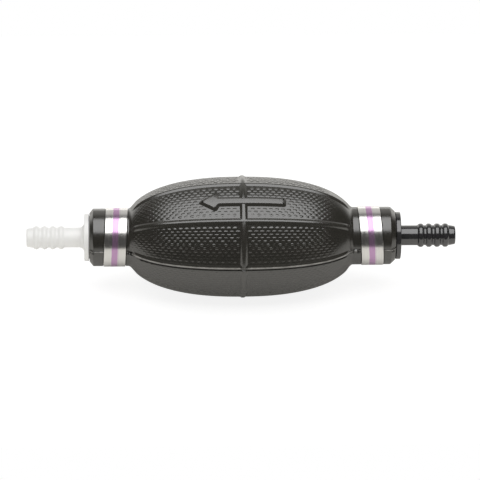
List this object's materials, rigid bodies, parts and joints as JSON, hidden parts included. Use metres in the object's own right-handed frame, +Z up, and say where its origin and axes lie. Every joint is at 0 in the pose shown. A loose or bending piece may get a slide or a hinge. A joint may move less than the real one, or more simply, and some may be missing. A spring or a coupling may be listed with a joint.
{
  "type": "siphon bulb pump",
  "caption": "Hand-squeezed rubber siphon bulb with a sprung one-way valve and a hose barb in each end, held by crimped bands, for moving fuel or water through a hose",
  "frame": {"origin": "centre of the pump's axis, in the plane of the bulb's middle rib", "axes": "+X along the pump's axis from the white outlet barb to the black inlet barb, against the flow arrow; -Y towards the front, which holds the arrow; +Z up"},
  "size_m": [0.1905, 0.0552, 0.0552],
  "materials": {
    "bulb_rubber": "moulded, semi-gloss with small raised bumps",
    "white_plastic": "smooth moulded white",
    "black_plastic": "smooth moulded black",
    "band_steel": "polished steel with a painted purple stripe",
    "valve_plastic": "natural acetal",
    "seal_rubber": "smooth black nitrile",
    "spring_steel": "bright stainless wire"
  },
  "bodies": {
    "pump": {"bulb_body": "bulb_rubber", "outlet_fitting": "white_plastic", "inlet_fitting": "black_plastic", "outlet_crimp_band": "band_steel", "inlet_crimp_band": "band_steel", "outlet_valve_seat": "valve_plastic", "outlet_seat_oring": "seal_rubber", "outlet_valve_spring": "spring_steel", "outlet_stem_guide": "valve_plastic", "outlet_retaining_ring": "spring_steel", "inlet_valve_seat": "valve_plastic", "inlet_seat_oring": "seal_rubber", "inlet_valve_spring": "spring_steel", "inlet_stem_guide": "valve_plastic", "inlet_retaining_ring": "spring_steel"},
    "front_wall": {"front_squeeze_wall": "bulb_rubber"},
    "back_wall": {"back_squeeze_wall": "bulb_rubber"},
    "outlet_valve": {"outlet_poppet": "valve_plastic", "outlet_poppet_seal": "seal_rubber"},
    "inlet_valve": {"inlet_poppet": "valve_plastic", "inlet_poppet_seal": "seal_rubber"}
  },
  "joints": [
    {"name": "front_squeeze", "type": "slide", "parent": "pump", "child": "front_wall", "axis": [0, 1, 0], "range_m": [0, 0.008], "stiffness_N_per_m": 2500},
    {"name": "back_squeeze", "type": "slide", "parent": "pump", "child": "back_wall", "axis": [0, -1, 0], "range_m": [0, 0.008], "stiffness_N_per_m": 2500},
    {"name": "outlet_valve_open", "type": "slide", "parent": "pump", "child": "outlet_valve", "axis": [-1, 0, 0], "range_m": [0, 0.0015], "stiffness_N_per_m": 60, "springref_m": -0.001, "deforming": ["outlet_valve_spring"]},
    {"name": "inlet_valve_open", "type": "slide", "parent": "pump", "child": "inlet_valve", "axis": [-1, 0, 0], "range_m": [0, 0.0015], "stiffness_N_per_m": 60, "springref_m": -0.001, "deforming": ["inlet_valve_spring"]}
  ],
  "couplings": [
    {"joint": "back_squeeze", "follows": "front_squeeze", "ratio": 1}
  ]
}
